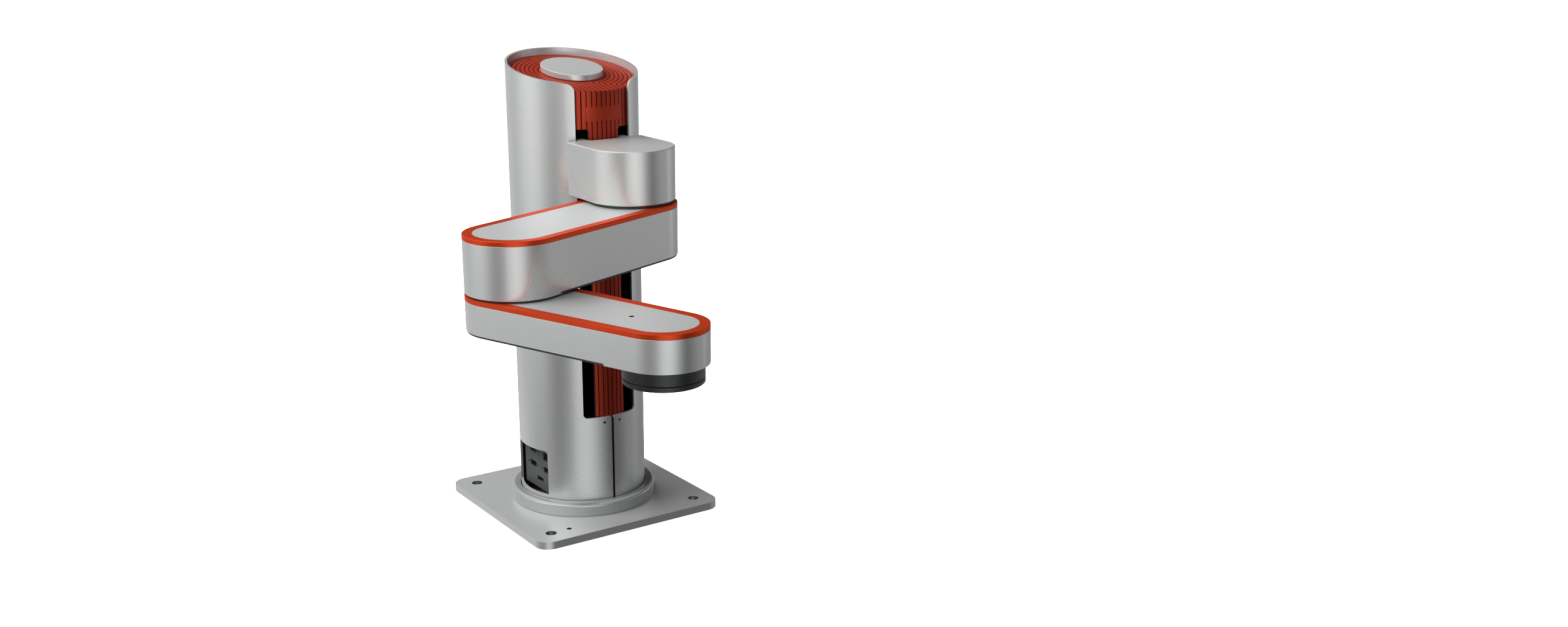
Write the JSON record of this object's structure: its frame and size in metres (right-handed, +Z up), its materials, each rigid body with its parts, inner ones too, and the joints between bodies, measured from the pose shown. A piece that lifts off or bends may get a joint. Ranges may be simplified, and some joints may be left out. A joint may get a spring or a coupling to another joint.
{
  "type": "scara robot",
  "caption": "Column-type SCARA robot: a slanted, slotted column on a square plate, a carriage that a ball screw lifts, and a folding arm with a turning tool flange.",
  "frame": {"origin": "centre of the base plate's underside", "axes": "+Z up along the column, +X the way the column's slot faces, connector panel on the -Y side"},
  "size_m": [0.4517, 0.2904, 0.4435],
  "materials": {
    "base_steel": "satin",
    "silver_metal": "satin",
    "pale_metal": "satin",
    "orange_column": "satin",
    "orange_trim": "gloss",
    "panel_grey": "satin",
    "black_metal": "matte",
    "black_plastic": "matte",
    "flange_metal": "matte",
    "steel": "satin",
    "machined_aluminium": "satin",
    "bronze": "satin",
    "belt_rubber": "matte"
  },
  "bodies": {
    "base": {"base_plate": "base_steel", "base_ring": "silver_metal", "outer_shell": "silver_metal", "pedestal": "black_metal", "inner_column": "orange_column", "top_cap": "pale_metal", "connector_panel": "panel_grey", "signal_socket_1": "black_plastic", "signal_socket_2": "black_plastic", "signal_socket_3": "black_plastic", "network_socket": "black_plastic", "power_socket": "black_plastic", "lift_motor": "black_metal", "lower_bearing_plate": "machined_aluminium", "upper_bearing_plate": "machined_aluminium", "guide_rod_left": "steel", "guide_rod_right": "steel"},
    "ball_screw": {"ball_screw": "steel"},
    "carriage": {"shoulder_block": "silver_metal", "carriage_frame": "machined_aluminium", "ball_nut": "steel", "guide_bush_left": "bronze", "guide_bush_right": "bronze", "shoulder_motor": "black_metal", "shoulder_reducer": "steel"},
    "upper_arm": {"upper_arm_housing": "silver_metal", "upper_arm_trim": "orange_trim", "upper_arm_top_plate": "pale_metal", "upper_arm_bottom_cover": "panel_grey", "shoulder_hub": "flange_metal", "elbow_motor": "black_metal", "elbow_reducer": "steel"},
    "forearm": {"forearm_housing": "silver_metal", "forearm_trim": "orange_trim", "forearm_top_plate": "pale_metal", "forearm_bottom_cover": "panel_grey", "elbow_hub": "flange_metal", "roll_motor": "black_metal", "roll_belt": "belt_rubber", "roll_bearing": "steel", "flange_collar": "flange_metal"},
    "roll_motor_pulley": {"roll_motor_pulley": "machined_aluminium"},
    "tool": {"tool_flange": "flange_metal", "tool_pulley": "machined_aluminium"}
  },
  "joints": [
    {"name": "lift", "type": "slide", "parent": "base", "child": "carriage", "axis": [0, 0, 1], "range_m": [-0.174, 0.006]},
    {"name": "screw_spin", "type": "hinge", "parent": "base", "child": "ball_screw", "pos_m": [-0.01, 0, 0.1], "axis": [0, 0, 1], "continuous": true},
    {"name": "shoulder", "type": "hinge", "parent": "carriage", "child": "upper_arm", "pos_m": [0.105, 0, 0.3203], "axis": [0, 0, 1], "range_deg": [-21.3, 158.7]},
    {"name": "elbow", "type": "hinge", "parent": "upper_arm", "child": "forearm", "pos_m": [0.16312, -0.14907, 0.2693], "axis": [0, 0, 1], "range_deg": [-199.1, 24.9]},
    {"name": "tool_roll", "type": "hinge", "parent": "forearm", "child": "tool", "pos_m": [0.31494, -0.09857, 0.2224], "axis": [0, 0, 1], "range_deg": [-1080, 1080]},
    {"name": "roll_motor_spin", "type": "hinge", "parent": "forearm", "child": "roll_motor_pulley", "pos_m": [0.23903, -0.12382, 0.2543], "axis": [0, 0, 1], "continuous": true}
  ],
  "couplings": [
    {"joint": "screw_spin", "follows": "lift", "rad_per_m": -392.7},
    {"joint": "roll_motor_spin", "follows": "tool_roll", "ratio": 2}
  ]
}
